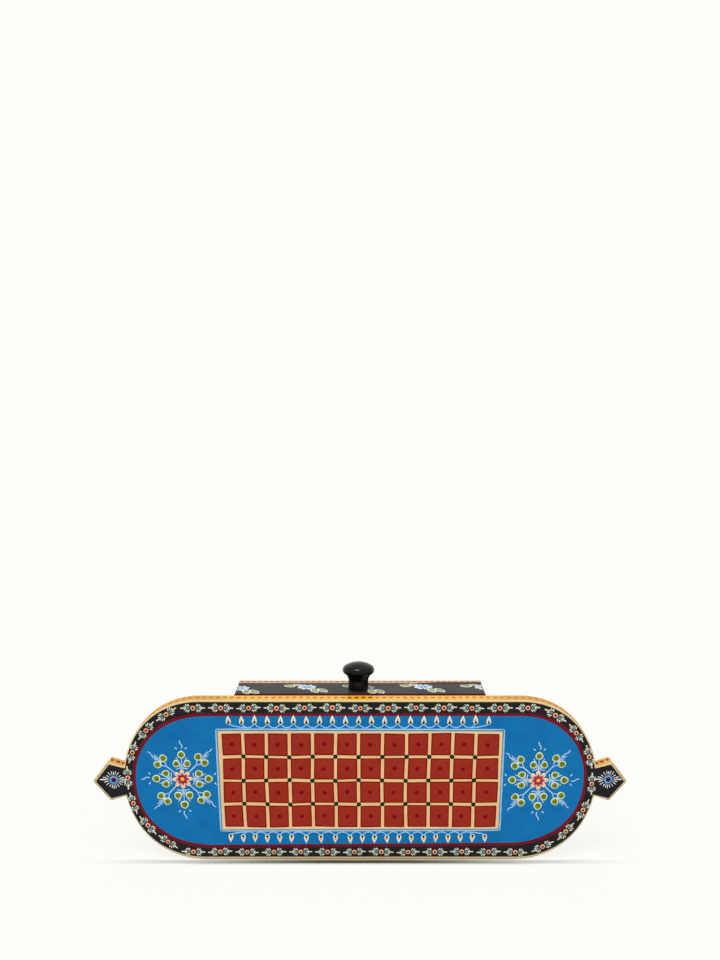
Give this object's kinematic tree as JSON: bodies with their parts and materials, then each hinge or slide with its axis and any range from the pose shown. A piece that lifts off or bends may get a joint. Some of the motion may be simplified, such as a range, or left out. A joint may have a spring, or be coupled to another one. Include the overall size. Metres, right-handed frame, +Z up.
{
  "type": "board game",
  "caption": "Painted wooden race-game board with arrow-tipped ends on a shallow case, with a sliding drawer on a turned knob that holds playing pieces and throwing sticks.",
  "frame": {"origin": "on the surface that the board stands on, below the middle of the whole object's box", "axes": "+X along the board, +Y from the painted face to the base panel, +Z up, the way the drawer opens"},
  "size_m": [0.4146, 0.062, 0.153],
  "materials": {
    "board_paint": "painted blue with a black border, satin varnish",
    "case_paint": "black paint, satin",
    "front_paint": "black paint with sprays, satin varnish",
    "knob_lacquer": "black gloss lacquer",
    "drawer_wood": "raw, sanded",
    "dowel_wood": "raw",
    "steel": "plain steel",
    "yellow_lacquer": "yellow gloss lacquer",
    "green_lacquer": "green gloss lacquer",
    "stick_wood": "painted back, raw flat side"
  },
  "bodies": {
    "case": {"board_panel": "board_paint", "left_cheek": "case_paint", "right_cheek": "case_paint", "back_rail": "case_paint", "base_panel": "case_paint", "case_dowels": "dowel_wood", "base_pins": "steel"},
    "drawer": {"drawer_front": "front_paint", "drawer_left_side": "drawer_wood", "drawer_right_side": "drawer_wood", "drawer_back": "drawer_wood", "drawer_bottom": "drawer_wood", "drawer_brads": "steel", "knob": "knob_lacquer", "knob_screw": "steel", "knob_washer": "steel", "yellow_piece_1": "yellow_lacquer", "yellow_piece_2": "yellow_lacquer", "yellow_piece_3": "yellow_lacquer", "yellow_piece_4": "yellow_lacquer", "yellow_piece_5": "yellow_lacquer", "yellow_piece_6": "yellow_lacquer", "yellow_piece_7": "yellow_lacquer", "yellow_piece_8": "yellow_lacquer", "yellow_piece_9": "yellow_lacquer", "yellow_piece_10": "yellow_lacquer", "yellow_piece_11": "yellow_lacquer", "yellow_piece_12": "yellow_lacquer", "green_piece_1": "green_lacquer", "green_piece_2": "green_lacquer", "green_piece_3": "green_lacquer", "green_piece_4": "green_lacquer", "green_piece_5": "green_lacquer", "green_piece_6": "green_lacquer", "green_piece_7": "green_lacquer", "green_piece_8": "green_lacquer", "green_piece_9": "green_lacquer", "green_piece_10": "green_lacquer", "green_piece_11": "green_lacquer", "green_piece_12": "green_lacquer", "throwing_stick_1": "stick_wood", "throwing_stick_2": "stick_wood", "throwing_stick_3": "stick_wood", "throwing_stick_4": "stick_wood"}
  },
  "joints": [
    {"name": "drawer_slide", "type": "slide", "parent": "case", "child": "drawer", "axis": [0, 0, 1], "range_m": [0, 0.1]}
  ]
}
